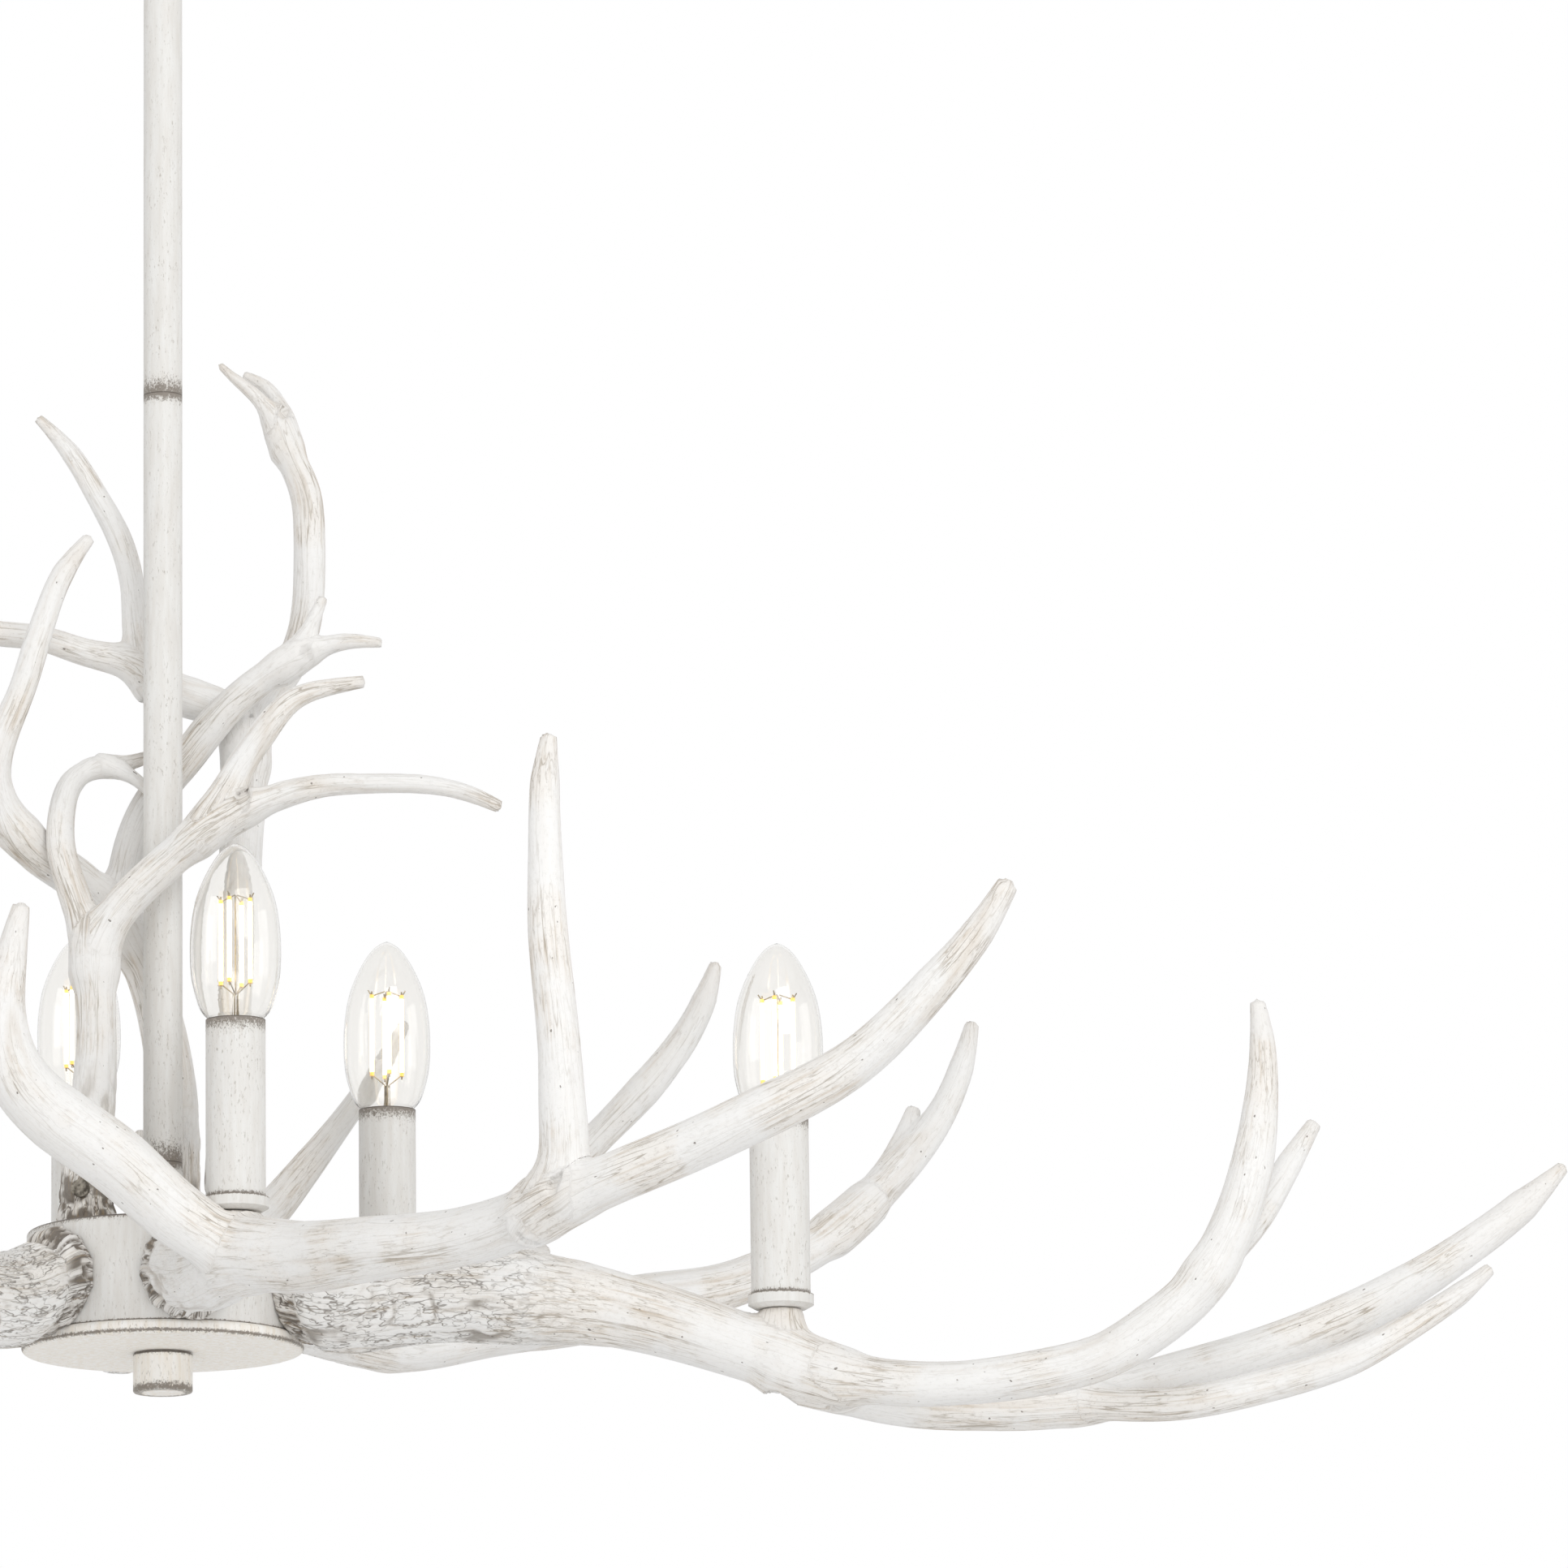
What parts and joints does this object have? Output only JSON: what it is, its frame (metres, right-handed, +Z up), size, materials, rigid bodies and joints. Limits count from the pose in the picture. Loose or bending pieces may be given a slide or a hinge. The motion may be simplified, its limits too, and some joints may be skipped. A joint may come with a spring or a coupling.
{
  "type": "antler chandelier",
  "caption": "Ceiling-hung chandelier: weathered antlers bolted around a round hub on a straight stem, carrying candle sleeves with clear bulbs.",
  "frame": {"origin": "centre of the mounting strap's upper face, where it meets the ceiling box", "axes": "+Z up along the stem; -Y is the front, facing the viewer; +X right"},
  "size_m": [1.0431, 0.9676, 0.7971],
  "materials": {
    "weathered_white_metal": "distressed off-white paint, brown glaze in the joints",
    "weathered_white_antler": "cast resin antler, off-white with brown glaze in the furrows",
    "zinc_steel": "zinc plated",
    "nylon_liner": "natural",
    "drip_sleeve": "distressed off-white paint with brown speckle",
    "phenolic_lampholder": "moulded, satin",
    "clear_glass": "clear",
    "bulb_metal": "satin"
  },
  "bodies": {
    "ceiling_mount": {"mounting_strap": "zinc_steel", "nipple_locknut": "zinc_steel", "canopy": "weathered_white_metal", "canopy_studs": "zinc_steel", "canopy_cap_nuts": "weathered_white_metal", "swivel_nipple": "zinc_steel", "swivel_socket": "weathered_white_metal"},
    "swivel_ring": {"swivel_liner": "nylon_liner"},
    "swivel_ball": {"swivel_ball": "weathered_white_metal"},
    "fixture": {"upper_stem": "weathered_white_metal", "stem_couplers": "zinc_steel", "lower_stem": "weathered_white_metal", "hub_neck": "weathered_white_metal", "hub_drum": "weathered_white_metal", "hub_plate": "weathered_white_metal", "finial": "weathered_white_metal", "centre_rod": "zinc_steel", "hub_nuts": "zinc_steel", "antler_bolts": "zinc_steel", "foot_screws": "weathered_white_metal", "candle_nipples": "zinc_steel", "lower_antler_1": "weathered_white_antler", "lower_antler_2": "weathered_white_antler", "lower_antler_3": "weathered_white_antler", "lower_antler_4": "weathered_white_antler", "lower_antler_5": "weathered_white_antler", "lower_antler_6": "weathered_white_antler", "upper_antler_1": "weathered_white_antler", "upper_antler_2": "weathered_white_antler", "upper_antler_3": "weathered_white_antler", "candle_cup_1": "weathered_white_metal", "candle_sleeve_1": "drip_sleeve", "lampholder_1": "phenolic_lampholder", "candle_cup_2": "weathered_white_metal", "candle_sleeve_2": "drip_sleeve", "lampholder_2": "phenolic_lampholder", "candle_cup_3": "weathered_white_metal", "candle_sleeve_3": "drip_sleeve", "lampholder_3": "phenolic_lampholder", "candle_cup_4": "weathered_white_metal", "candle_sleeve_4": "drip_sleeve", "lampholder_4": "phenolic_lampholder", "candle_cup_5": "weathered_white_metal", "candle_sleeve_5": "drip_sleeve", "lampholder_5": "phenolic_lampholder", "candle_cup_6": "weathered_white_metal", "candle_sleeve_6": "drip_sleeve", "lampholder_6": "phenolic_lampholder"},
    "bulb_1": {"bulb_glass_1": "clear_glass", "bulb_core_1": "bulb_metal"},
    "bulb_2": {"bulb_glass_2": "clear_glass", "bulb_core_2": "bulb_metal"},
    "bulb_3": {"bulb_glass_3": "clear_glass", "bulb_core_3": "bulb_metal"},
    "bulb_4": {"bulb_glass_4": "clear_glass", "bulb_core_4": "bulb_metal"},
    "bulb_5": {"bulb_glass_5": "clear_glass", "bulb_core_5": "bulb_metal"},
    "bulb_6": {"bulb_glass_6": "clear_glass", "bulb_core_6": "bulb_metal"}
  },
  "joints": [
    {"name": "swivel_tilt_sideways", "type": "hinge", "parent": "ceiling_mount", "child": "swivel_ring", "pos_m": [0, 0, -0.0413], "axis": [0, 1, 0], "range_deg": [-20, 20]},
    {"name": "swivel_tilt_forward", "type": "hinge", "parent": "swivel_ring", "child": "swivel_ball", "pos_m": [0, 0, -0.0413], "axis": [1, 0, 0], "range_deg": [-20, 20]},
    {"name": "fixture_turn", "type": "hinge", "parent": "swivel_ball", "child": "fixture", "pos_m": [0, 0, -0.0566], "axis": [0, 0, 1], "range_deg": [-170, 170]},
    {"name": "bulb_1_pull", "type": "slide", "parent": "fixture", "child": "bulb_1", "axis": [0, 0, 1], "range_m": [0, 0.035]},
    {"name": "bulb_2_pull", "type": "slide", "parent": "fixture", "child": "bulb_2", "axis": [0, 0, 1], "range_m": [0, 0.035]},
    {"name": "bulb_3_pull", "type": "slide", "parent": "fixture", "child": "bulb_3", "axis": [0, 0, 1], "range_m": [0, 0.035]},
    {"name": "bulb_4_pull", "type": "slide", "parent": "fixture", "child": "bulb_4", "axis": [0, 0, 1], "range_m": [0, 0.035]},
    {"name": "bulb_5_pull", "type": "slide", "parent": "fixture", "child": "bulb_5", "axis": [0, 0, 1], "range_m": [0, 0.035]},
    {"name": "bulb_6_pull", "type": "slide", "parent": "fixture", "child": "bulb_6", "axis": [0, 0, 1], "range_m": [0, 0.035]}
  ]
}
